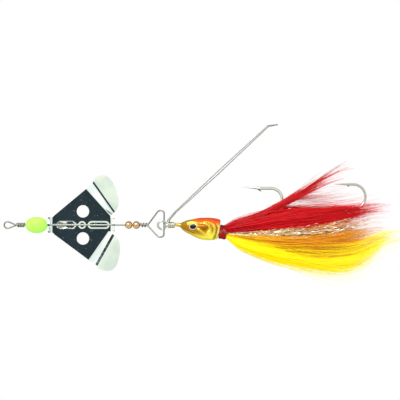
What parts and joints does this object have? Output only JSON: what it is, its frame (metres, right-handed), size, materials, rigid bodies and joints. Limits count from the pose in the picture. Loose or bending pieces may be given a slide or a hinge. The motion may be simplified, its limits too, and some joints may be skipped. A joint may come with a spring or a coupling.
{
  "type": "inline spinner fishing lure",
  "caption": "In-line buzz spinner: wire shaft with line eye, sliding bead, stamped delta blade, brass beads, jointed fish-head jig with weedguard, hair tail and trailer hook.",
  "frame": {"origin": "centre of the line eye, from which the lure hangs", "axes": "+Z from the tail up to the line eye, along the shaft; +X towards the hook points; -Y out of the side that is seen with the hook points to the right"},
  "size_m": [0.0782, 0.0174, 0.2047],
  "materials": {
    "spring_wire": "bright stainless spring wire",
    "bead_chartreuse": "fluorescent chartreuse, smooth",
    "blade_nickel": "polished nickel-plated sheet",
    "brass": "polished, slightly coppery",
    "hook_nickel": "bright nickel-plated hook wire",
    "head_paint": "gold chrome paint with orange back and yellow belly, clear coat",
    "eye": "pale ring with black pupil under clear lens",
    "thread_red": "dark red thread under varnish",
    "hair_red": "dyed red hair",
    "hair_flash": "pearl and gold tinsel",
    "hair_orange": "dyed orange hair",
    "hair_yellow": "dyed yellow hair"
  },
  "bodies": {
    "shaft": {"main_wire": "spring_wire"},
    "bead": {"green_bead": "bead_chartreuse"},
    "blade": {"spinner_blade": "blade_nickel"},
    "brass_front": {"brass_bead_front": "brass"},
    "brass_rear": {"brass_bead_rear": "brass"},
    "jig": {"jig_hook": "hook_nickel", "jig_head": "head_paint", "near_eye": "eye", "far_eye": "eye", "thread_collar": "thread_red", "weedguard_coil": "spring_wire", "red_hair_upper": "hair_red", "red_hair_main": "hair_red", "flash_strands": "hair_flash", "orange_hair": "hair_orange", "yellow_hair": "hair_yellow"},
    "weedguard": {"weedguard_arm": "spring_wire"},
    "trailer": {"trailer_hook": "hook_nickel"}
  },
  "joints": [
    {"name": "bead_slide", "type": "slide", "parent": "shaft", "child": "bead", "axis": [0, 0, -1], "range_m": [0, 0.0046]},
    {"name": "blade_spin", "type": "hinge", "parent": "bead", "child": "blade", "pos_m": [0, 0, -0.04], "axis": [0, 0, -1], "continuous": true},
    {"name": "brass_front_spin", "type": "hinge", "parent": "shaft", "child": "brass_front", "pos_m": [0, 0, -0.0642], "axis": [0, 0, -1], "continuous": true},
    {"name": "brass_rear_spin", "type": "hinge", "parent": "shaft", "child": "brass_rear", "pos_m": [0, 0, -0.0683], "axis": [0, 0, -1], "continuous": true},
    {"name": "jig_swing", "type": "hinge", "parent": "shaft", "child": "jig", "pos_m": [0, 0, -0.0829], "axis": [0.766, 0.6428, 0], "range_deg": [-75, 75]},
    {"name": "weedguard_flex", "type": "hinge", "parent": "jig", "child": "weedguard", "pos_m": [0.0013, 0, -0.08545], "axis": [0, -1, 0], "range_deg": [-13, 0], "stiffness_Nm_per_rad": 0.02},
    {"name": "trailer_swing", "type": "hinge", "parent": "jig", "child": "trailer", "pos_m": [0.00984, 0, -0.14428], "axis": [0.788, 0, -0.6157], "range_deg": [-45, 45]}
  ]
}
